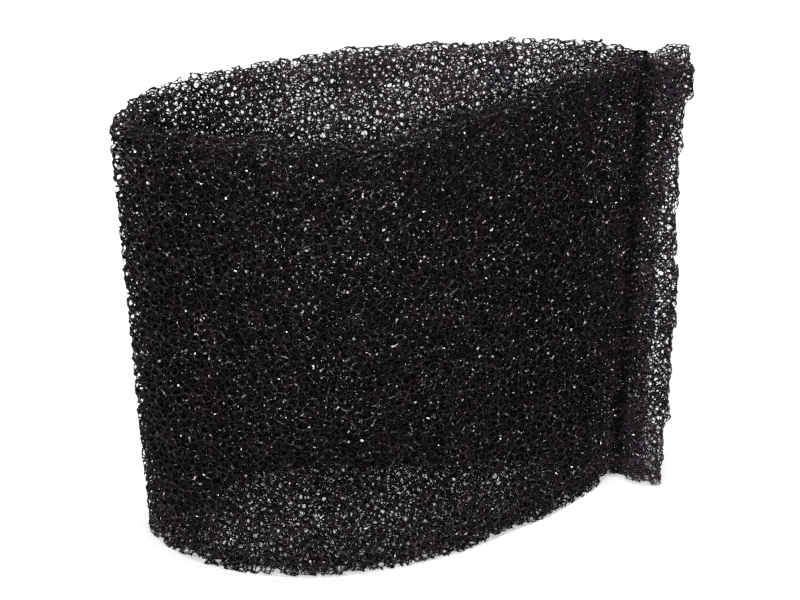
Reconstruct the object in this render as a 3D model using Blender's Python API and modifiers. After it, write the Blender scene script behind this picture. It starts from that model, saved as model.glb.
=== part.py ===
"""Foam sleeve for a small engine's air filter.

The sleeve is one strip of coarse reticulated polyurethane foam.  It is bent
once round a tight nose so that its two cut ends meet face to face, and a line
of adhesive a little way in from the ends bonds them into a fin seam.  The loop
that is left, open at the top and the bottom, is pulled over a filter
cartridge or cage.  Here it stands free on its lower rim, as it does before it
is fitted.

Frame: +Z runs up the sleeve's height, Z = 0 is the lower rim, +X runs from
the nose towards the fin seam, and -Y is the side with the fuller bulge.  The
origin is at the middle of the sleeve's plan outline.
"""

import bpy
import bmesh
from mathutils import Vector

MM = 0.001

# ---- driving dimensions ---------------------------------------------------
HEIGHT = 119.5 * MM          # lower rim to upper rim
WALL = 6.35 * MM             # quarter-inch sheet foam
SEAM_WALL = 2.6 * MM         # each layer where the bond line squeezes it
BOND_THICKNESS = 0.8 * MM    # adhesive line, across the two layers
BOND_WIDTH = 4.4 * MM        # adhesive line, along the strip
BOND_END_SETBACK = 0.8 * MM  # adhesive stops this far short of each rim
TRIM = 2.0 * MM              # sheet allowance cut away to leave flat rims
CLEARANCE = 0.3 * MM         # between the adhesive and each foam layer
FLAP_GAP = 0.6 * MM          # between the two free ends of the strip
PLAN_MIDDLE = (2.37 * MM, -8.42 * MM)   # of the stations below, in plan

# Fin seam in plan: centre of the bond line, and the free end of the flap,
# each at the lower rim and at the upper rim (the flap leans back a little).
SEAM_ROOT = ((56.0, 6.6), (57.4, 10.6))
SEAM_END = ((68.0, 5.9), (68.4, 10.2))

# The loop's centre line in plan, from the seam round the fuller side and the
# nose and back to the seam: (lower rim, upper rim), in mm.
FULL_SIDE = (
    ((47.6, -0.2), (47.4, 5.0)),
    ((37.0, -9.5), (37.6, -2.0)),
    ((26.5, -16.1), (27.0, -10.8)),
    ((15.0, -23.1), (15.0, -18.2)),
    ((0.0, -28.7), (0.0, -28.0)),
    ((-21.0, -32.7), (-21.0, -31.4)),
    ((-40.0, -30.3), (-40.0, -29.2)),
    ((-52.3, -25.0), (-52.0, -25.6)),
)
NOSE = (
    ((-60.2, -16.2), (-60.6, -20.0)),
    ((-57.2, -8.2), (-57.8, -13.2)),
)
FLAT_SIDE = (
    ((-49.6, -1.4), (-50.0, -5.4)),
    ((-41.0, 5.8), (-41.0, 0.4)),
    ((-29.0, 9.4), (-29.0, 5.2)),
    ((-13.0, 10.4), (-13.0, 10.2)),
    ((4.0, 11.6), (4.0, 13.8)),
    ((21.0, 12.6), (21.0, 15.7)),
    ((38.0, 12.2), (38.0, 15.6)),
    ((48.0, 10.6), (48.4, 14.4)),
)

STEPS_ALONG = 132            # faces along the strip
STEPS_UP = 3                 # faces up the strip


# ---- plan curve -----------------------------------------------------------
def seam_layer(side, level):
    """Centre line and wall factor of one layer in the seam, root outwards.

    side is -1 for the layer on the fuller side and +1 for the other one;
    level is 0 at the lower rim and 1 at the upper rim.
    """
    root, end = Vector(SEAM_ROOT[level]), Vector(SEAM_END[level])
    along = (end - root).normalized()
    across = Vector((-along.y, along.x)) * side
    length = (end - root).length
    bond_gap = (BOND_THICKNESS / 2 + CLEARANCE) / MM
    flap_gap = FLAP_GAP / 2 / MM
    wall, thin = WALL / MM, SEAM_WALL / MM
    layer = []
    for reach, gap, thick in ((-2.5, bond_gap, thin * 1.12),
                              (0.0, bond_gap, thin),
                              (2.5, bond_gap, thin * 1.12),
                              (5.2, (bond_gap + flap_gap) / 2, wall * 0.84),
                              (8.2, flap_gap, wall * 0.98),
                              (length, flap_gap, wall)):
        offset = gap + thick / 2
        layer.append((root + along * reach + across * offset, thick / wall))
    return layer


def stations(level):
    """(plan point, wall factor) along the whole strip, end to end, in mm."""
    first = seam_layer(-1, level)
    last = seam_layer(+1, level)
    loop = [(Vector(pair[level]), 1.0)
            for pair in FULL_SIDE + NOSE + FLAT_SIDE]
    return list(reversed(first)) + loop + last


def spline(points, count):
    """count + 1 evenly spaced samples of a Catmull-Rom curve through points.

    Each point is (plan position, wall factor); centripetal knots keep the
    curve from overshooting between close stations.
    """
    pos = [p for p, _ in points]
    pos = [pos[0] * 2 - pos[1]] + pos + [pos[-1] * 2 - pos[-2]]
    fac = [f for _, f in points]
    dense = []
    for i in range(1, len(pos) - 2):
        p0, p1, p2, p3 = pos[i - 1:i + 3]
        t0 = 0.0
        t1 = t0 + (p1 - p0).length ** 0.5
        t2 = t1 + (p2 - p1).length ** 0.5
        t3 = t2 + (p3 - p2).length ** 0.5
        for k in range(24):
            w = k / 24
            t = t1 + (t2 - t1) * w
            a1 = p0 * ((t1 - t) / (t1 - t0)) + p1 * ((t - t0) / (t1 - t0))
            a2 = p1 * ((t2 - t) / (t2 - t1)) + p2 * ((t - t1) / (t2 - t1))
            a3 = p2 * ((t3 - t) / (t3 - t2)) + p3 * ((t - t2) / (t3 - t2))
            b1 = a1 * ((t2 - t) / (t2 - t0)) + a2 * ((t - t0) / (t2 - t0))
            b2 = a2 * ((t3 - t) / (t3 - t1)) + a3 * ((t - t1) / (t3 - t1))
            c = b1 * ((t2 - t) / (t2 - t1)) + b2 * ((t - t1) / (t2 - t1))
            smooth = w * w * (3 - 2 * w)
            dense.append((c, fac[i - 1] + (fac[i] - fac[i - 1]) * smooth))
    dense.append((pos[-2], fac[-1]))
    run = [0.0]
    for (a, _), (b, _) in zip(dense, dense[1:]):
        run.append(run[-1] + (b - a).length)
    samples, j = [], 0
    for k in range(count + 1):
        target = run[-1] * k / count
        while j < len(run) - 2 and run[j + 1] < target:
            j += 1
        w = (target - run[j]) / max(run[j + 1] - run[j], 1e-9)
        samples.append((dense[j][0].lerp(dense[j + 1][0], w),
                        dense[j][1] + (dense[j + 1][1] - dense[j][1]) * w))
    return samples


# ---- helpers --------------------------------------------------------------
def collection(name):
    group = bpy.data.collections.new(name)
    bpy.context.scene.collection.children.link(group)
    return group


def material(name, colour, roughness, metallic=0.0):
    mat = bpy.data.materials.new(name)
    mat.use_nodes = True
    shader = mat.node_tree.nodes["Principled BSDF"]
    shader.inputs["Base Color"].default_value = (*colour, 1.0)
    shader.inputs["Roughness"].default_value = roughness
    shader.inputs["Metallic"].default_value = metallic
    mat.diffuse_color = (*colour, 1.0)
    return mat


def ruled_sheet(name, lower, upper, z_low, z_high, steps_up, group, mat):
    """A sheet that runs straight up from one plan curve to another.

    It starts as a flat grid with one column for each sample of the curves,
    and each grid point is then lifted to its place.  The wall factor goes in
    a vertex group that Solidify reads.
    """
    columns = len(lower) - 1
    bm = bmesh.new()
    bmesh.ops.create_grid(bm, x_segments=columns, y_segments=steps_up,
                          size=0.5)
    factors = {}
    for vert in bm.verts:
        i = round((vert.co.x + 0.5) * columns)
        v = vert.co.y + 0.5
        z = z_low + (z_high - z_low) * v
        rise = z / HEIGHT
        plan = lower[i][0].lerp(upper[i][0], rise) * MM
        factors[vert.index] = lower[i][1] + (upper[i][1] - lower[i][1]) * rise
        vert.co = (plan.x, plan.y, z)
    mesh = bpy.data.meshes.new(name)
    bm.to_mesh(mesh)
    bm.free()
    mesh.shade_smooth()
    obj = bpy.data.objects.new(name, mesh)
    group.objects.link(obj)
    obj.data.materials.append(mat)
    wall = obj.vertex_groups.new(name="wall")
    for index, factor in factors.items():
        wall.add([index], min(1.0, factor), "REPLACE")
    return obj


def solidify(obj, thickness, by_group):
    mod = obj.modifiers.new("Thickness", "SOLIDIFY")
    mod.thickness = thickness
    mod.offset = 0.0
    mod.use_even_offset = False
    mod.use_rim = True
    if by_group:
        mod.vertex_group = "wall"
        mod.thickness_vertex_group = 0.0
    return mod


def trim_block(group):
    """The slab of space between the two rims, as a hidden cutter."""
    bm = bmesh.new()
    bmesh.ops.create_cube(bm, size=1.0)
    bmesh.ops.scale(bm, verts=bm.verts, vec=(0.4, 0.4, HEIGHT))
    mesh = bpy.data.meshes.new("rim_trim")
    bm.to_mesh(mesh)
    bm.free()
    obj = bpy.data.objects.new("rim_trim", mesh)
    obj.location = (0.0, 0.0, HEIGHT / 2)
    obj.hide_render = True
    obj.display_type = "WIRE"
    group.objects.link(obj)
    return obj


# ---- the sleeve -----------------------------------------------------------
def main():
    for obj in list(bpy.data.objects):
        bpy.data.objects.remove(obj, do_unlink=True)

    parts = collection("foam_filter_sleeve")
    cutters = collection("cutters")
    origin = bpy.data.objects.new("sleeve_origin", None)
    origin.location = (-PLAN_MIDDLE[0], -PLAN_MIDDLE[1], 0.0)
    parts.objects.link(origin)

    foam = material("foam_black", (0.018, 0.017, 0.018), 0.45)
    glue = material("adhesive_black", (0.010, 0.010, 0.011), 0.30)

    # The strip: one piece of foam from free end to free end, made a little
    # too tall and then cut square, so that it stands on a flat rim.
    lower = spline(stations(0), STEPS_ALONG)
    upper = spline(stations(1), STEPS_ALONG)
    strip = ruled_sheet("foam_sleeve", lower, upper, -TRIM, HEIGHT + TRIM,
                        STEPS_UP, parts, foam)
    solidify(strip, WALL, by_group=True)
    trim = strip.modifiers.new("Trim the rims", "BOOLEAN")
    trim.operation = "INTERSECT"
    trim.solver = "EXACT"
    trim.object = trim_block(cutters)
    strip.parent = origin

    # The adhesive line between the two layers at the root of the fin seam.
    half = BOND_WIDTH / 2 / MM
    ends = []
    for level in (0, 1):
        root, end = Vector(SEAM_ROOT[level]), Vector(SEAM_END[level])
        along = (end - root).normalized()
        ends.append([(root + along * half * k, 1.0) for k in (-1, 0, 1)])
    bond = ruled_sheet("seam_bond", ends[0], ends[1], BOND_END_SETBACK,
                       HEIGHT - BOND_END_SETBACK, STEPS_UP, parts, glue)
    solidify(bond, BOND_THICKNESS, by_group=False)
    bond.parent = origin


main()
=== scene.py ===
"""Looks for the foam filter sleeve.

The CAD node foam_sleeve is the outer envelope of one strip of reticulated
foam.  Here the strip is grown as real foam: seeds fill the flat strip, the
edges of their Voronoi cells become struts, and the flat network is bent onto
the sleeve's centre surface, cut off at the strip's faces, rims and free ends.
Every strut is a three-sided prism, thick at its nodes and thin in the middle,
and all struts close into one skin.
"""

import math

import bmesh
import bpy
import numpy as np
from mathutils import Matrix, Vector, kdtree, noise
from mathutils.bvhtree import BVHTree


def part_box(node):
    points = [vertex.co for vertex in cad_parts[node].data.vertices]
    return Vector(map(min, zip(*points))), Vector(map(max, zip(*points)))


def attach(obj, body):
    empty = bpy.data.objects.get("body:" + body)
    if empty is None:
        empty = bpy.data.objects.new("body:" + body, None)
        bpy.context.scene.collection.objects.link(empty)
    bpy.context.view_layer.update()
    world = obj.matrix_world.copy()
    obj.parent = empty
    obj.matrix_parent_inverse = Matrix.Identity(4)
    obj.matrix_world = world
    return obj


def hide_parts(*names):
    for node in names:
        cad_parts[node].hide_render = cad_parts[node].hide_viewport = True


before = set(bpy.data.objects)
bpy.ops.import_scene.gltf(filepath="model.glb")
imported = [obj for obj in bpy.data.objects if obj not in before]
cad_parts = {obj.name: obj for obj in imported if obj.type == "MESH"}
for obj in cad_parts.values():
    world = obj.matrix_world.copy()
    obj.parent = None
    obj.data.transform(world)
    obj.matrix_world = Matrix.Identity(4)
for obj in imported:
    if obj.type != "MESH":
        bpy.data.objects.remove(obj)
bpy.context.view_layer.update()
rng = np.random.default_rng(20931)

# ---- the sleeve's centre surface (same driving numbers as the CAD), in mm --
foam_low, foam_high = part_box("foam_sleeve")
HEIGHT = (foam_high[2] - foam_low[2]) * 1000.0
WALL = 6.35
SEAM_WALL = 2.6
BOND_THICKNESS = 0.8
CLEARANCE = 0.3
FLAP_GAP = 0.6
PLAN_MIDDLE = np.array((2.37, -8.42, 0.0))
SEAM_ROOT = ((56.0, 6.6), (57.4, 10.6))
SEAM_END = ((68.0, 5.9), (68.4, 10.2))
FULL_SIDE = (
    ((47.6, -0.2), (47.4, 5.0)),
    ((37.0, -9.5), (37.6, -2.0)),
    ((26.5, -16.1), (27.0, -10.8)),
    ((15.0, -23.1), (15.0, -18.2)),
    ((0.0, -28.7), (0.0, -28.0)),
    ((-21.0, -32.7), (-21.0, -31.4)),
    ((-40.0, -30.3), (-40.0, -29.2)),
    ((-52.3, -25.0), (-52.0, -25.6)),
)
NOSE = (
    ((-60.2, -16.2), (-60.6, -20.0)),
    ((-57.2, -8.2), (-57.8, -13.2)),
)
FLAT_SIDE = (
    ((-49.6, -1.4), (-50.0, -5.4)),
    ((-41.0, 5.8), (-41.0, 0.4)),
    ((-29.0, 9.4), (-29.0, 5.2)),
    ((-13.0, 10.4), (-13.0, 10.2)),
    ((4.0, 11.6), (4.0, 13.8)),
    ((21.0, 12.6), (21.0, 15.7)),
    ((38.0, 12.2), (38.0, 15.6)),
    ((48.0, 10.6), (48.4, 14.4)),
)


def seam_layer(side, level):
    root, end = np.array(SEAM_ROOT[level]), np.array(SEAM_END[level])
    length = np.linalg.norm(end - root)
    along = (end - root) / length
    across = np.array((-along[1], along[0])) * side
    bond_gap, flap_gap = BOND_THICKNESS / 2 + CLEARANCE, FLAP_GAP / 2
    layer = []
    for reach, gap, thick in ((-2.5, bond_gap, SEAM_WALL * 1.12),
                              (0.0, bond_gap, SEAM_WALL),
                              (2.5, bond_gap, SEAM_WALL * 1.12),
                              (5.2, (bond_gap + flap_gap) / 2, WALL * 0.84),
                              (8.2, flap_gap, WALL * 0.98),
                              (length, flap_gap, WALL)):
        layer.append((root + along * reach + across * (gap + thick / 2),
                      thick / WALL))
    return layer


def centre_line(level, count=900):
    """Evenly spaced plan points, wall factors and the length, for one rim."""
    first, last = seam_layer(-1, level), seam_layer(+1, level)
    points = (first[::-1]
              + [(np.array(p[level]), 1.0) for p in FULL_SIDE + NOSE + FLAT_SIDE]
              + last)
    pos = [p for p, _ in points]
    fac = [f for _, f in points]
    pos = [pos[0] * 2 - pos[1]] + pos + [pos[-1] * 2 - pos[-2]]
    dense, weight = [], []
    for i in range(1, len(pos) - 2):
        p0, p1, p2, p3 = pos[i - 1:i + 3]
        t0 = 0.0
        t1 = t0 + np.linalg.norm(p1 - p0) ** 0.5
        t2 = t1 + np.linalg.norm(p2 - p1) ** 0.5
        t3 = t2 + np.linalg.norm(p3 - p2) ** 0.5
        for k in range(48):
            w = k / 48
            t = t1 + (t2 - t1) * w
            a1 = p0 * ((t1 - t) / (t1 - t0)) + p1 * ((t - t0) / (t1 - t0))
            a2 = p1 * ((t2 - t) / (t2 - t1)) + p2 * ((t - t1) / (t2 - t1))
            a3 = p2 * ((t3 - t) / (t3 - t2)) + p3 * ((t - t2) / (t3 - t2))
            b1 = a1 * ((t2 - t) / (t2 - t0)) + a2 * ((t - t0) / (t2 - t0))
            b2 = a2 * ((t3 - t) / (t3 - t1)) + a3 * ((t - t1) / (t3 - t1))
            dense.append(b1 * ((t2 - t) / (t2 - t1)) + b2 * ((t - t1) / (t2 - t1)))
            weight.append(fac[i - 1] + (fac[i] - fac[i - 1]) * w * w * (3 - 2 * w))
    dense.append(pos[-2])
    weight.append(fac[-1])
    dense, weight = np.array(dense), np.array(weight)
    run = np.concatenate(([0], np.cumsum(np.linalg.norm(np.diff(dense, axis=0), axis=1))))
    at = np.linspace(0, run[-1], count)
    plan = np.stack([np.interp(at, run, dense[:, 0]), np.interp(at, run, dense[:, 1])], 1)
    return plan, np.interp(at, run, weight), run[-1]


COUNT = 900
LOWER, LOWER_WALL, LOWER_LENGTH = centre_line(0, COUNT)
UPPER, UPPER_WALL, UPPER_LENGTH = centre_line(1, COUNT)
LENGTH = (LOWER_LENGTH + UPPER_LENGTH) / 2


def smooth_tangent(plan):
    t = np.gradient(plan, axis=0)
    k = np.ones(5) / 5
    pad = np.vstack([t[:1]] * 2 + [t] + [t[-1:]] * 2)
    t = np.stack([np.convolve(pad[:, c], k, "valid") for c in (0, 1)], 1)
    return t


LOWER_T, UPPER_T = smooth_tangent(LOWER), smooth_tangent(UPPER)


def bend(flat):
    """Strip coordinates (along, up, through) in mm to the sleeve, in mm."""
    u = flat[:, 0] / LENGTH * (COUNT - 1)
    i = np.clip(u.astype(int), 0, COUNT - 2)
    w = (u - i)[:, None]                      # runs past 0..1 off the ends
    r = (flat[:, 1] / HEIGHT)[:, None]
    low = LOWER[i] + (LOWER[i + 1] - LOWER[i]) * w
    up = UPPER[i] + (UPPER[i + 1] - UPPER[i]) * w
    plan = low + (up - low) * r
    wc = np.clip(w, 0, 1)
    tl = LOWER_T[i] + (LOWER_T[i + 1] - LOWER_T[i]) * wc
    tu = UPPER_T[i] + (UPPER_T[i + 1] - UPPER_T[i]) * wc
    t = tl + (tu - tl) * r
    rise = np.concatenate([up - low, np.full((len(flat), 1), HEIGHT)], 1)
    t = np.concatenate([t, np.zeros((len(flat), 1))], 1)
    normal = np.cross(t, rise)
    normal /= np.linalg.norm(normal, axis=1)[:, None]
    wall = ((LOWER_WALL[i] + (LOWER_WALL[i + 1] - LOWER_WALL[i]) * wc[:, 0]) * (1 - r[:, 0])
            + (UPPER_WALL[i] + (UPPER_WALL[i + 1] - UPPER_WALL[i]) * wc[:, 0]) * r[:, 0])
    centre = np.concatenate([plan, flat[:, 1:2]], 1) - PLAN_MIDDLE
    return centre + normal * (flat[:, 2] * wall)[:, None]


# The bent strip has to lie on the CAD solid it stands for.
shell = BVHTree.FromPolygons([v.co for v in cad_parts["foam_sleeve"].data.vertices],
                             [p.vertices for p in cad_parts["foam_sleeve"].data.polygons])
probe = np.array([(LENGTH * a, HEIGHT * b, WALL / 2 * c) for a in np.linspace(0.03, 0.97, 25)
                  for b in (0.1, 0.5, 0.9) for c in (-1, 1)])
off = max(shell.find_nearest(Vector(p / 1000.0))[3] * 1000.0 for p in bend(probe))
print("foam strip to CAD surface, mm:", round(off, 3))
if off > 0.4:
    raise RuntimeError("the foam strip doesn't lie on the CAD sleeve")

# ---- foam cells -------------------------------------------------------------
CELL = 2.28                 # mean spacing of neighbouring cells
UNEVEN = 0.16               # spread of cell size
NODE = 0.240                # strut size at its nodes
WAIST = 0.122               # strut size at its middle
SHORT = 0.85                # struts up to this length run straight
FACE_BAND = 0.20            # foam this far past a face of the sheet bends into it
EDGE_BAND = 0.55            # and this far past a cut rim or end
SHORTEST = 0.32             # no strut is shorter than this


def nearest(points, count):
    tree = kdtree.KDTree(len(points))
    for i, p in enumerate(points):
        tree.insert(p, i)
    tree.balance()
    out = np.empty((len(points), count), np.int64)
    for i, p in enumerate(points):
        out[i] = [hit[1] for hit in tree.find_n(p, count + 1)[1:]]
    return out


def make_seeds():
    margin = np.array((1.5, 1.5, 1.35)) * CELL
    low = np.array((0, 0, -WALL / 2)) - margin
    high = np.array((LENGTH, HEIGHT, WALL / 2)) + margin
    count = int(np.prod(high - low) / (0.60 * CELL ** 3))
    pts = low + rng.random((count, 3)) * (high - low)
    size = 0.56 * CELL * np.exp(rng.normal(0, UNEVEN, count))
    for step in range(7):
        if step in (0, 1, 2, 4):
            nb = nearest(pts, 13)
        gap = pts[:, None, :] - pts[nb]
        d = np.linalg.norm(gap, axis=2, keepdims=True)
        want = (size[:, None] + size[nb])[:, :, None]
        push = (gap / np.maximum(d, 1e-6) * np.clip(want - d, 0, None)).sum(1)
        pts = np.clip(pts + push * 0.16, low, high)
    return pts


def voronoi(pts, reach=34, close=23):
    """Edges of the Voronoi cells: ends, the three cells each, direction.

    Points as far from cells i, j and k lie on a line.  Each other cell near
    i cuts that line, and what is left between the cuts is the edge.
    """
    nb = nearest(pts, reach)
    a, b = np.triu_indices(close, 1)
    rows = []
    for start in range(0, len(pts), 700):
        i = np.arange(start, min(start + 700, len(pts)))
        j, k = nb[i][:, a], nb[i][:, b]
        keep = (j > i[:, None]) & (k > i[:, None])
        gi = np.broadcast_to(i[:, None], keep.shape)[keep]
        gj, gk = j[keep], k[keep]
        A, B = pts[gj] - pts[gi], pts[gk] - pts[gi]
        D = np.cross(A, B)
        DD = (D * D).sum(1)
        c = np.cross((A * A).sum(1)[:, None] * B - (B * B).sum(1)[:, None] * A, D) / (2 * DD)[:, None]
        ok = (c * c).sum(1) < (1.6 * CELL) ** 2
        gi, gj, gk, c, D, DD = gi[ok], gj[ok], gk[ok], c[ok], D[ok], DD[ok]
        d = D / np.sqrt(DD)[:, None]
        others = nb[gi]
        L = pts[others] - pts[gi][:, None, :]
        num = (L * L).sum(2) / 2 - np.einsum("nkc,nc->nk", L, c)
        den = np.einsum("nkc,nc->nk", L, d)
        skip = (others == gj[:, None]) | (others == gk[:, None])
        with np.errstate(divide="ignore", invalid="ignore"):
            t = num / den
        hi = np.where(skip | (den <= 1e-9), np.inf, t)
        lo = np.where(skip | (den >= -1e-9), -np.inf, t)
        ah, al = hi.argmin(1), lo.argmax(1)
        n = np.arange(len(gi))
        hi, lo = hi[n, ah], lo[n, al]
        ok = (hi > lo) & np.isfinite(hi) & np.isfinite(lo)
        rows.append((gi[ok], gj[ok], gk[ok], others[n, al][ok], others[n, ah][ok],
                     pts[gi[ok]] + c[ok] + d[ok] * lo[ok, None],
                     pts[gi[ok]] + c[ok] + d[ok] * hi[ok, None], d[ok]))
    gi, gj, gk, gl, gh, p, q, d = (np.concatenate(x) for x in zip(*rows))
    cells = np.stack([gi, gj, gk], 1)

    four = np.concatenate([np.concatenate([cells, last[:, None]], 1) for last in (gl, gh)])
    four = np.sort(four, 1)
    s = four.astype(np.uint64)
    both = (((s[:, 0] * np.uint64(0x9E3779B97F4A7C15) + s[:, 1]) * np.uint64(0xC2B2AE3D27D4EB4F)
             + s[:, 2]) * np.uint64(0x165667B19E3779F9) + s[:, 3])
    uniq, first, inverse = np.unique(both, return_index=True, return_inverse=True)
    ends = np.stack([inverse[:len(gi)], inverse[len(gi):]], 1)
    hits = np.bincount(inverse, minlength=len(uniq)).astype(float)
    place = np.stack([np.bincount(inverse, np.concatenate([p[:, c], q[:, c]]), len(uniq)) / hits
                      for c in range(3)], 1)
    return place, four[first], ends, cells, d, hits


def settle(place, ends, d, hits, rounds=3, pull=0.22):
    """Lets the network relax a little, as wet foam does, with no tiny struts."""
    v1, v2 = ends[:, 0], ends[:, 1]
    full = hits == 4
    for _ in range(rounds):
        total = np.zeros_like(place)
        for c in range(3):
            total[:, c] = (np.bincount(v1, place[v2, c], len(place))
                           + np.bincount(v2, place[v1, c], len(place)))
        mean = total / np.maximum(hits, 1)[:, None]
        place = np.where(full[:, None], place + (mean - place) * pull, place)
        for _ in range(2):
            run = ((place[v2] - place[v1]) * d).sum(1)
            short = run < SHORTEST
            push = d[short] * ((SHORTEST - run[short]) / 2)[:, None]
            for c in range(3):
                place[:, c] += (np.bincount(v2[short], push[:, c], len(place))
                                - np.bincount(v1[short], push[:, c], len(place)))
    return place


seeds = make_seeds()
place, around, ends, cells, direction, hits = voronoi(seeds)
place = settle(place, ends, direction, hits)


# ---- where the strip ends ---------------------------------------------------
def wander(x, parts, phase):
    """A smooth seeded wobble: parts are (wavelength mm, amplitude mm)."""
    g = np.random.default_rng(phase)
    return sum(a * np.sin(2 * math.pi * x / w + g.random() * 6.283) for w, a in parts)


RIM_WOBBLE = ((46.0, 0.30), (19.0, 0.22), (9.5, 0.20), (5.3, 0.15), (3.4, 0.10))


def free_end(z, near):
    """How far the cut stops short of the strip's nominal end."""
    waist = 2.5 * np.exp(-((z - 92.0) / 24.0) ** 2)
    trim = wander(z, ((31.0, 0.30), (13.0, 0.35), (7.0, 0.32), (4.1, 0.2)), 31 if near else 32)
    if near:
        return 0.1 + waist + trim
    short = 4.4 / (1 + np.exp(np.clip((z - 84.0) / 7.0, -30, 30)))
    return 0.6 + waist + short + trim


# Each face of the strip: the flat axis it lies across and the way inwards.
FACES = ((2, -1), (2, 1), (1, 1), (1, -1), (0, 1), (0, -1))
BAND = np.array((FACE_BAND, FACE_BAND, EDGE_BAND, EDGE_BAND, EDGE_BAND, EDGE_BAND))


along_rim = np.linspace(0, LENGTH, 400)
NOSE = along_rim[bend(np.stack([along_rim, np.full(400, HEIGHT), np.zeros(400)], 1))[:, 0].argmin()]


def depth_inside(p):
    """Signed distance to each face of the strip, columns, in mm."""
    s, z, n = p[:, 0], p[:, 1], p[:, 2]
    return np.stack([
        WALL / 2 + 0.10 * np.sin(s * 0.9 + z * 0.31) - n,
        WALL / 2 + 0.10 * np.sin(s * 0.23 - z * 0.83) + n,
        z - 0.25 - rim(s, 11),
        HEIGHT - 0.15 - rim(s, 12) - 1.9 * np.exp(-((s - NOSE) / 5.0) ** 2) - z,
        s - free_end(z, True),
        LENGTH - free_end(z, False) - s,
    ], 1)


def rim(s, phase):
    return 0.3 + wander(s, RIM_WOBBLE, phase)


CRUSH = (0.08, 0.08, 0.40, 0.40, 0.40, 0.40)   # depth of foam the cut squeezes


def crush(points):
    """Halves the cells' height next to a face, where cutting squeezes them."""
    points = points.copy()
    g = depth_inside(points)
    for f, (axis, inward) in enumerate(FACES):
        near = g[:, f] < CRUSH[f]
        points[near, axis] += inward * (CRUSH[f] - g[near, f]) * 0.5
    return points


def fold_in(place, ends, d):
    """Bends the struts just past a cut back into its plane, as a blade
    does, so that the skin of the foam is made of closed windows."""
    g = depth_inside(place)
    kept = (g > -BAND).all(1)
    jitter = rng.uniform(-0.05, 0.05, len(place))
    place, locked = place.copy(), np.zeros(place.shape, bool)
    for f, (axis, inward) in enumerate(FACES):
        past = kept & (g[:, f] < 0)
        place[past, axis] -= inward * (g[past, f] - jitter[past])
        locked[past, axis] = True
    v1, v2 = ends[:, 0], ends[:, 1]
    both = kept[v1] & kept[v2]
    v1, v2, d = v1[both], v2[both], d[both]
    for _ in range(5):
        run = ((place[v2] - place[v1]) * d).sum(1)
        short = run < SHORTEST
        push = d[short] * ((SHORTEST - run[short]) * 0.6)[:, None]
        for c in range(3):
            move = (np.bincount(v2[short], push[:, c], len(place))
                    - np.bincount(v1[short], push[:, c], len(place)))
            place[:, c] += np.where(locked[:, c], 0, np.clip(move, -0.3, 0.3))
    return place, kept


def build_network(place, kept):
    v1, v2 = ends[:, 0], ends[:, 1]
    inside = kept.copy()
    for _ in range(6):                       # no loose strut ends stick out
        both = inside[v1] & inside[v2]
        held = (np.bincount(v1[both], minlength=len(place))
                + np.bincount(v2[both], minlength=len(place)))
        inside &= held > 1
    in1, in2 = inside[v1], inside[v2]
    keep = in1 | in2
    e1, e2, cell = v1[keep], v2[keep], cells[keep]
    in1, in2 = in1[keep], in2[keep]
    # how much of each cut strut survives, measured from its inside end
    start = np.where(in1, e1, e2)
    stop = np.where(in1, e2, e1)
    g = depth_inside(place)
    gs, ge = g[start], g[stop]
    with np.errstate(divide="ignore", invalid="ignore"):
        cut = np.where(ge < 0, gs / (gs - ge), 1.0).min(1)
    cut = np.where(in1 & in2, 1.0, np.clip(cut, 0.0, 1.0))
    return e1, e2, cell, in1, in2, start, stop, cut


place, seeds = crush(place), crush(seeds)
place, kept = fold_in(place, ends, direction)
e1, e2, cell, in1, in2, start, stop, cut = build_network(place, kept)

world = bend(place)
world[:, 2] = np.maximum(world[:, 2], 0.34)      # the lowest struts lie on the floor
used = np.unique(np.concatenate([e1[in1], e2[in2]]))
slot_of = -np.ones(len(place), np.int64)
slot_of[used] = np.arange(len(used))
EPS = 0.05


def patchy(p, waves, phase):
    """Slow variation through the foam, about -1 to 1."""
    g = np.random.default_rng(phase)
    total = np.zeros(len(p))
    for w in waves:
        k = g.normal(size=3)
        k *= 2 * math.pi / w / np.linalg.norm(k)
        total += np.sin(p @ k + g.random() * 6.283)
    return total / math.sqrt(len(waves) / 2)


def from_to(value, low, high):
    return np.clip((value - low) / (high - low), 0.0, 1.0)


dense = np.exp(0.07 * patchy(place, (34, 27, 21, 17, 13, 11, 9, 7.5, 6.5), 5))
dense *= 1 + 0.36 * from_to(-world[:, 0], 54, 62)      # squeezed round the tight bend
dense *= 1 - 0.12 * (from_to(world[:, 0], 55.5, 58)    # thinner through the flap
                     - from_to(world[:, 0], 61, 65))
dense *= 1 - 0.07 * from_to(world[:, 1], 6, 12)
dense *= 1 - 0.06 * from_to(-world[:, 2], -26, -18)
toward = seeds[around[used]] - place[used][:, None, :]          # (n,4,3)
toward /= np.linalg.norm(toward, axis=2, keepdims=True)
shifted = bend((place[used][:, None, :] + toward * EPS).reshape(-1, 3)).reshape(-1, 4, 3)
toward = shifted - bend(place[used])[:, None, :]
toward /= np.linalg.norm(toward, axis=2, keepdims=True)
swell = NODE * np.clip(np.exp(rng.normal(0, 0.24, len(used))), 0.7, 1.7) * dense[used]
corner = world[used][:, None, :] + toward * swell[:, None, None]  # node corners


def corner_index(vertex, cell_id):
    """Index into corner (flattened) for a vertex and one of its cells."""
    k = (around[vertex] == cell_id[:, None]).argmax(1)
    return slot_of[vertex] * 4 + k


flat_corner = corner.reshape(-1, 3)
flat_toward = toward.reshape(-1, 3)


def ring_dirs(axis, c1, c2=None):
    """Directions of the three strut edges square to the axis."""
    out = []
    for k in range(3):
        v = flat_toward[c1[:, k]]
        if c2 is not None:
            v = v + flat_toward[c2[:, k]]
        v = v - axis * (v * axis).sum(1)[:, None]
        out.append(v / np.maximum(np.linalg.norm(v, axis=1), 1e-6)[:, None])
    return np.stack(out, 1)


whole = in1 & in2
stub = ~whole
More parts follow.
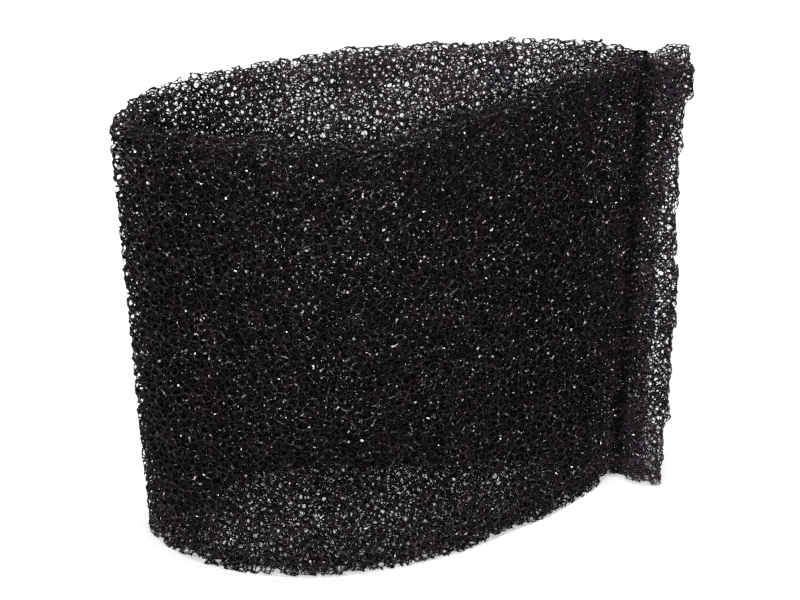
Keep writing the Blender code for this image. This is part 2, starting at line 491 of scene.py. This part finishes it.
# whole struts
w1 = np.stack([corner_index(e1[whole], cell[whole][:, k]) for k in range(3)], 1)
w2 = np.stack([corner_index(e2[whole], cell[whole][:, k]) for k in range(3)], 1)
a, b = world[e1[whole]], world[e2[whole]]
axis = b - a
length = np.linalg.norm(axis, axis=1)
axis /= np.maximum(length, 1e-6)[:, None]
dirs = ring_dirs(axis, w1, w2)
radius = (WAIST * dense[e1[whole]] * np.exp(rng.normal(0, 0.18, len(a)))
          * np.clip(1.35 - 0.28 * length, 0.8, 1.35))
bow = rng.normal(0, 0.05, (len(a), 3)) * np.minimum(length, 1.5)[:, None]
mid = (a + b) / 2 + bow - axis * (bow * axis).sum(1)[:, None]
waist = mid[:, None, :] + dirs * radius[:, None, None]
# stubs
s1 = np.stack([corner_index(start[stub], cell[stub][:, k]) for k in range(3)], 1)
tip_flat = place[start[stub]] + (place[stop[stub]] - place[start[stub]]) * cut[stub][:, None]
tip = bend(tip_flat)
base = world[start[stub]]
axis_s = tip - base
len_s = np.linalg.norm(axis_s, axis=1)
axis_s /= np.maximum(len_s, 1e-6)[:, None]
len_s = np.clip(len_s, 0.11, 0.55)
tip = base + axis_s * len_s[:, None]
dirs_s = ring_dirs(axis_s, s1)
rad_s = WAIST * np.exp(rng.normal(0, 0.16, len(base))) * np.clip(1.5 - 0.6 * len_s, 0.9, 1.5)
end_ring = tip[:, None, :] + dirs_s * rad_s[:, None, None]

# ---- materials --------------------------------------------------------------
def foam_material():
    """Black polyurethane: flat glossy facets along each strut, duller where it
    is dusty or was cut, with a faint warm or cool cast from cell to cell.
    The colour is also scaled by painted light and shade, not by fading: the back
    wall's struts are painted paler, standing in for light from behind; along the
    strip the nose and the flap are painted lighter and the foam toward the seam
    darker, with a painted crease shadow beside the seam. The struts are also paler
    toward the foot."""
    mat = bpy.data.materials.new("foam_struts")
    mat.use_nodes = True
    nt = mat.node_tree
    p = nt.nodes["Principled BSDF"]
    p.inputs["Specular Tint"].default_value = (1.0, 0.93, 0.96, 1)
    co = nt.nodes.new("ShaderNodeTexCoord")

    def noise_node(scale, detail):
        n = nt.nodes.new("ShaderNodeTexNoise")
        n.inputs["Scale"].default_value = scale
        n.inputs["Detail"].default_value = detail
        nt.links.new(co.outputs["Object"], n.inputs["Vector"])
        return n.outputs["Fac"]

    def span(source, low, high, to_low, to_high):
        m = nt.nodes.new("ShaderNodeMapRange")
        m.inputs["From Min"].default_value, m.inputs["From Max"].default_value = low, high
        m.inputs["To Min"].default_value, m.inputs["To Max"].default_value = to_low, to_high
        nt.links.new(source, m.inputs["Value"])
        return m

    def ramp(source, stops):
        r = nt.nodes.new("ShaderNodeValToRGB")
        while len(r.color_ramp.elements) < len(stops):
            r.color_ramp.elements.new(0.5)
        for e, (at, c) in zip(r.color_ramp.elements, stops):
            e.position, e.color = at, (*c, 1)
        nt.links.new(source, r.inputs["Fac"])
        return r.outputs["Color"]

    def times(first, second):
        m = nt.nodes.new("ShaderNodeMath")
        m.operation = "MULTIPLY"
        for source, socket in ((first, m.inputs[0]), (second, m.inputs[1])):
            if isinstance(source, float):
                socket.default_value = source
            else:
                nt.links.new(source, socket)
        return m.outputs["Value"]

    where = nt.nodes.new("ShaderNodeSeparateXYZ")
    nt.links.new(co.outputs["Object"], where.inputs["Vector"])
    # painted light: the back wall's struts get a paler colour, standing in for light that reaches them from behind
    back = span(where.outputs["Y"], 0.004, 0.018, 1.0, BACK_PAINTED_LIGHT).outputs["Result"]
    # painted light and shade along the strip: paler at the nose and the flap, darker toward the seam, and a narrow
    # painted shadow in the crease beside it
    along = span(where.outputs["X"], -0.067, 0.067, 0.0, 1.0).outputs["Result"]
    side = ramp(along, [(at, (v, v, v)) for at, v in
                        ((0.0, 0.68), (0.12, 0.60), (0.62, 0.60), (0.78, 0.50),
                         (0.882, 0.42), (0.899, 0.15), (0.908, 0.15), (0.925, 0.52),
                         (0.955, 0.82))])
    # the struts are paler toward the foot
    foot = span(where.outputs["Z"], 0.012, 0.026, FOOT_PALER, 1.0).outputs["Result"]
    patch = span(noise_node(260.0, 1.0), 0.32, 0.68, PATCH[0], PATCH[1])
    # the painted back-wall light, the painted light and shade along the strip, the paler foot and the random
    # patches together scale the strut colour
    painted_light_and_patch = times(times(times(times(back, side), foot), 2.0), patch.outputs["Result"])

    cast = ramp(noise_node(160.0, 2.0),
                [(at, tuple(BASE * v for v in c)) for at, c in
                 ((0.30, (1.0, 0.80, 1.16)), (0.50, (1.05, 0.85, 1.05)), (0.70, (1.5, 1.0, 1.1)))])
    dust = ramp(noise_node(900.0, 3.0), ((0.62, (0.0, 0.0, 0.0)), (0.80, DUST)))
    add = nt.nodes.new("ShaderNodeMix")
    add.data_type, add.blend_type = "RGBA", "ADD"
    add.inputs["Factor"].default_value = 1.0
    nt.links.new(cast, add.inputs["A"])
    nt.links.new(dust, add.inputs["B"])
    cast_with_painted_light = nt.nodes.new("ShaderNodeVectorMath")
    cast_with_painted_light.operation = "SCALE"
    nt.links.new(add.outputs["Result"], cast_with_painted_light.inputs["Vector"])
    nt.links.new(painted_light_and_patch, cast_with_painted_light.inputs["Scale"])
    nt.links.new(cast_with_painted_light.outputs["Vector"], p.inputs["Base Color"])

    rough = span(noise_node(1400.0, 2.0), 0.30, 0.70, ROUGH[0], ROUGH[1])
    nt.links.new(rough.outputs["Result"], p.inputs["Roughness"])
    shine = span(noise_node(330.0, 1.0), 0.34, 0.66, SHINE[0], SHINE[1]).outputs["Result"]
    # the painted crease shadow also turns the specular glints down there
    hidden = span(side, 0.14, 0.45, 0.30, 1.0).outputs["Result"]
    nt.links.new(times(shine, hidden), p.inputs["Specular IOR Level"])

    facets = nt.nodes.new("ShaderNodeNewGeometry")
    bump = nt.nodes.new("ShaderNodeBump")
    bump.inputs["Strength"].default_value = 0.15
    bump.inputs["Distance"].default_value = 0.00002
    nt.links.new(noise_node(3000.0, 2.0), bump.inputs["Height"])
    nt.links.new(facets.outputs["True Normal"], bump.inputs["Normal"])
    nt.links.new(bump.outputs["Normal"], p.inputs["Normal"])
    return mat


BASE = 0.0068
DUST = (0.014, 0.0126, 0.0133)
ROUGH = (0.15, 0.42)
SHINE = (0.30, 0.68)
PATCH = (0.60, 1.55)
# how much paler the back wall's struts are painted, standing in for backlight
BACK_PAINTED_LIGHT = 2.7
# how much paler the struts are toward the foot
FOOT_PALER = 1.7
foam_mat = foam_material()

# ---- meshes -----------------------------------------------------------------
PIECES = 24
piece_of = np.clip((place[start][:, 0] / LENGTH * PIECES).astype(int), 0, PIECES - 1)
pw, ps = piece_of[whole], piece_of[stub]
NC = len(flat_corner)
NW = len(waist) * 3
points = np.concatenate([flat_corner, waist.reshape(-1, 3), end_ring.reshape(-1, 3)]) / 1000.0


def add_piece(name, number):
    m = np.nonzero(pw == number)[0]
    k = np.nonzero(ps == number)[0]
    quads = []
    small = m[length[m] < SHORT]
    large = m[length[m] >= SHORT]
    wi = NC + large[:, None] * 3 + np.arange(3)
    for x, y in ((0, 1), (1, 2), (2, 0)):
        quads.append(np.stack([w1[small, x], w1[small, y], w2[small, y], w2[small, x]], 1))
        quads.append(np.stack([w1[large, x], w1[large, y], wi[:, y], wi[:, x]], 1))
        quads.append(np.stack([wi[:, x], wi[:, y], w2[large, y], w2[large, x]], 1))
    si = NC + NW + k[:, None] * 3 + np.arange(3)
    fwd = in1[stub][k]                       # strut runs along its direction
    for x, y in ((0, 1), (1, 2), (2, 0)):
        q = np.stack([s1[k, x], s1[k, y], si[:, y], si[:, x]], 1)
        quads.append(np.where(fwd[:, None], q, q[:, ::-1]))
    quads = np.concatenate(quads)
    tris = [np.where(fwd[:, None], si, si[:, ::-1])]
    # close node faces whose strut is not in this piece
    have = {}
    lead = np.concatenate([w1[m], s1[k][fwd], ])
    trail = np.concatenate([w2[m], s1[k][~fwd]])
    done = np.concatenate([lead, trail])
    node = done[:, 0] // 4
    present = np.zeros((len(used), 4), bool)
    # a node face is named by the corner it leaves out
    missing_corner = 6 - (done % 4).sum(1)
    present[node, missing_corner] = True
    here = np.unique(node)
    gap_node, gap_corner = np.nonzero(~present[here])
    gap_node = here[gap_node]
    if len(gap_node):
        three = np.array([[1, 2, 3], [0, 2, 3], [0, 1, 3], [0, 1, 2]])[gap_corner]
        t = gap_node[:, None] * 4 + three
        pts3 = flat_corner[t]
        centre = flat_corner[(gap_node[:, None] * 4 + np.arange(4))].mean(1)
        nrm = np.cross(pts3[:, 1] - pts3[:, 0], pts3[:, 2] - pts3[:, 0])
        out = ((pts3.mean(1) - centre) * nrm).sum(1) > 0
        tris.append(np.where(out[:, None], t, t[:, ::-1]))
    tris = np.concatenate(tris)
    idx = np.unique(np.concatenate([quads.ravel(), tris.ravel()]))
    remap = np.zeros(len(points), np.int64)
    remap[idx] = np.arange(len(idx))
    me = bpy.data.meshes.new(name)
    me.vertices.add(len(idx))
    me.vertices.foreach_set("co", points[idx].astype(np.float32).ravel())
    loops = np.concatenate([remap[quads].ravel(), remap[tris].ravel()]).astype(np.int32)
    me.loops.add(len(loops))
    me.loops.foreach_set("vertex_index", loops)
    sizes = np.concatenate([np.full(len(quads), 4), np.full(len(tris), 3)]).astype(np.int32)
    starts = np.concatenate([[0], np.cumsum(sizes)[:-1]]).astype(np.int32)
    me.polygons.add(len(sizes))
    me.polygons.foreach_set("loop_start", starts)
    me.polygons.foreach_set("loop_total", sizes)
    me.update(calc_edges=True)
    me.shade_smooth()
    me.materials.append(foam_mat)
    ob = bpy.data.objects.new(name, me)
    bpy.context.scene.collection.objects.link(ob)
    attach(ob, "root")
    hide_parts("foam_sleeve")
    return ob, len(quads) * 2 + len(tris)


total = 0
for number in range(PIECES):
    ob, tris = add_piece("foam_strip_%02d" % (number + 1), number)
    total += tris
print("foam triangles:", total)

# ---- the adhesive line ------------------------------------------------------
def adhesive_material():
    """Cured flexible adhesive: nearly black, satin, pitted by the foam."""
    mat = bpy.data.materials.new("seam_adhesive")
    mat.use_nodes = True
    nt = mat.node_tree
    p = nt.nodes["Principled BSDF"]
    co = nt.nodes.new("ShaderNodeTexCoord")
    broad, fine = (nt.nodes.new("ShaderNodeTexNoise") for _ in range(2))
    broad.inputs["Scale"].default_value = 220.0
    fine.inputs["Scale"].default_value = 1500.0
    fine.inputs["Detail"].default_value = 4.0
    tone = nt.nodes.new("ShaderNodeValToRGB")
    tone.color_ramp.elements[0].position = 0.35
    tone.color_ramp.elements[0].color = (0.0022, 0.0019, 0.0022, 1)
    tone.color_ramp.elements[1].position = 0.70
    tone.color_ramp.elements[1].color = (0.0075, 0.0062, 0.0066, 1)
    rough = nt.nodes.new("ShaderNodeMapRange")
    rough.inputs["To Min"].default_value = 0.22
    rough.inputs["To Max"].default_value = 0.62
    bump = nt.nodes.new("ShaderNodeBump")
    bump.inputs["Strength"].default_value = 0.5
    bump.inputs["Distance"].default_value = 0.0002
    for n in (broad, fine):
        nt.links.new(co.outputs["Object"], n.inputs["Vector"])
    nt.links.new(broad.outputs["Fac"], tone.inputs["Fac"])
    nt.links.new(tone.outputs["Color"], p.inputs["Base Color"])
    nt.links.new(fine.outputs["Fac"], rough.inputs["Value"])
    nt.links.new(rough.outputs["Result"], p.inputs["Roughness"])
    nt.links.new(fine.outputs["Fac"], bump.inputs["Height"])
    nt.links.new(bump.outputs["Normal"], p.inputs["Normal"])
    return mat


def adhesive_bead():
    """A squeezed, lumpy strip of adhesive between the two foam layers."""
    bond_low, bond_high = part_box("seam_bond")
    z_low, z_high = bond_low[2] * 1000.0 + 0.1, bond_high[2] * 1000.0 - 0.1
    rows, around_ring = 260, 28
    root = np.array(SEAM_ROOT) - PLAN_MIDDLE[:2]
    end = np.array(SEAM_END) - PLAN_MIDDLE[:2]
    ring = np.linspace(0, 2 * math.pi, around_ring, endpoint=False)
    shape_u = np.sign(np.cos(ring)) * np.abs(np.cos(ring)) ** 0.7
    shape_t = np.sign(np.sin(ring)) * np.abs(np.sin(ring)) ** 0.8
    verts = []
    for r in range(rows):
        z = z_low + (z_high - z_low) * r / (rows - 1)
        rise = z / HEIGHT
        middle = root[0] + (root[1] - root[0]) * rise
        along = (end - root)[0] + ((end - root)[1] - (end - root)[0]) * rise
        along = along / np.linalg.norm(along)
        across = np.array((-along[1], along[0]))
        taper = min(1.0, 0.45 + 1.2 * min(r, rows - 1 - r) / 6)
        for k in range(around_ring):
            lump = noise.noise(Vector((shape_u[k] * 2.1, shape_t[k] * 0.9, z * 0.75)))
            edge = noise.noise(Vector((shape_u[k] * 0.6 + 9.0, 0.0, z * 0.42)))
            wide = 2.05 * (1 + 0.16 * edge) * taper
            thick = 0.36 * (1 + 0.55 * lump) * taper
            p = middle + along * (shape_u[k] * wide) + across * (shape_t[k] * thick)
            verts.append((p[0] / 1000, p[1] / 1000, z / 1000))
    n = around_ring
    faces = [(r * n + k, r * n + (k + 1) % n, (r + 1) * n + (k + 1) % n, (r + 1) * n + k)
             for r in range(rows - 1) for k in range(n)]
    faces.append(tuple(reversed(range(n))))
    faces.append(tuple((rows - 1) * n + k for k in range(n)))
    me = bpy.data.meshes.new("seam_adhesive_bead")
    me.from_pydata(verts, [], faces)
    me.update()
    me.shade_smooth()
    me.materials.append(adhesive_material())
    ob = bpy.data.objects.new("seam_adhesive_bead", me)
    bpy.context.scene.collection.objects.link(ob)
    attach(ob, "root")
    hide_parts("seam_bond")
    return ob


adhesive_bead()

# ---- floor, light, camera ---------------------------------------------------
me = bpy.data.meshes.new("floor")
bm = bmesh.new()
bmesh.ops.create_grid(bm, x_segments=1, y_segments=1, size=6.0)
bm.to_mesh(me)
bm.free()
floor = bpy.data.objects.new("floor", me)
floor.location.z = 0.0
bpy.context.scene.collection.objects.link(floor)
FLOOR_BOUNCE = 0.12          # the floor as the foam sees it
fm = bpy.data.materials.new("floor_white")
fm.use_nodes = True
floor_nt = fm.node_tree
floor_shader = floor_nt.nodes["Principled BSDF"]
floor_shader.inputs["Roughness"].default_value = 0.8
floor_shader.inputs["Specular IOR Level"].default_value = 0.0
floor_ray = floor_nt.nodes.new("ShaderNodeLightPath")
floor_tone = floor_nt.nodes.new("ShaderNodeMix")
floor_tone.data_type = "RGBA"
floor_tone.inputs["A"].default_value = (FLOOR_BOUNCE, FLOOR_BOUNCE, FLOOR_BOUNCE, 1)
floor_tone.inputs["B"].default_value = (0.95, 0.95, 0.95, 1)
floor_nt.links.new(floor_ray.outputs["Is Camera Ray"], floor_tone.inputs["Factor"])
floor_nt.links.new(floor_tone.outputs["Result"], floor_shader.inputs["Base Color"])
me.materials.append(fm)

ROOM = 0.03
world_data = bpy.data.worlds.new("studio")
world_data.use_nodes = True
bg = world_data.node_tree.nodes["Background"]
bg.inputs["Color"].default_value = (1, 1, 1, 1)
path = world_data.node_tree.nodes.new("ShaderNodeLightPath")
mixer = world_data.node_tree.nodes.new("ShaderNodeMapRange")
mixer.inputs["To Min"].default_value = ROOM
mixer.inputs["To Max"].default_value = 1.05
world_data.node_tree.links.new(path.outputs["Is Camera Ray"], mixer.inputs["Value"])
world_data.node_tree.links.new(mixer.outputs["Result"], bg.inputs["Strength"])
bpy.context.scene.world = world_data


def far_softbox(name, azimuth, elevation, spread, power):
    """A soft light so far off that the floor under it is even."""
    light = bpy.data.lights.new(name, "SUN")
    light.angle = math.radians(spread)
    light.energy = power
    ob = bpy.data.objects.new(name, light)
    az, el = math.radians(azimuth), math.radians(elevation)
    towards = Vector((math.cos(el) * math.cos(az), math.cos(el) * math.sin(az), math.sin(el)))
    ob.location = towards * 1.5
    ob.rotation_euler = (-towards).to_track_quat("-Z", "Y").to_euler()
    bpy.context.scene.collection.objects.link(ob)
    return ob


far_softbox("top", 0, 88, 16, 1.48)
far_softbox("key", 226, 44, 18, 0.95)
far_softbox("fill", 312, 44, 18, 0.28)
far_softbox("front", 270, 27, 8, 3.3)
far_softbox("back", 95, 60, 60, 0.15)
far_softbox("back_left", 148, 6, 24, 0.8)
far_softbox("back_right", 36, 6, 24, 0.8)

cam_data = bpy.data.cameras.new("camera")
cam_data.sensor_width = 36.0
cam_data.lens = 91.0
cam = bpy.data.objects.new("camera", cam_data)
cam.location = (-0.00237, -0.40048, 0.3338)
cam.rotation_euler = (Vector((-0.00237, 0.00842, 0.058)) - Vector(cam.location)).to_track_quat("-Z", "Y").to_euler()
bpy.context.scene.collection.objects.link(cam)
bpy.context.scene.camera = cam
bpy.context.scene.view_settings.view_transform = "Standard"
bpy.context.scene.cycles.use_denoising = False   # it smears struts this fine
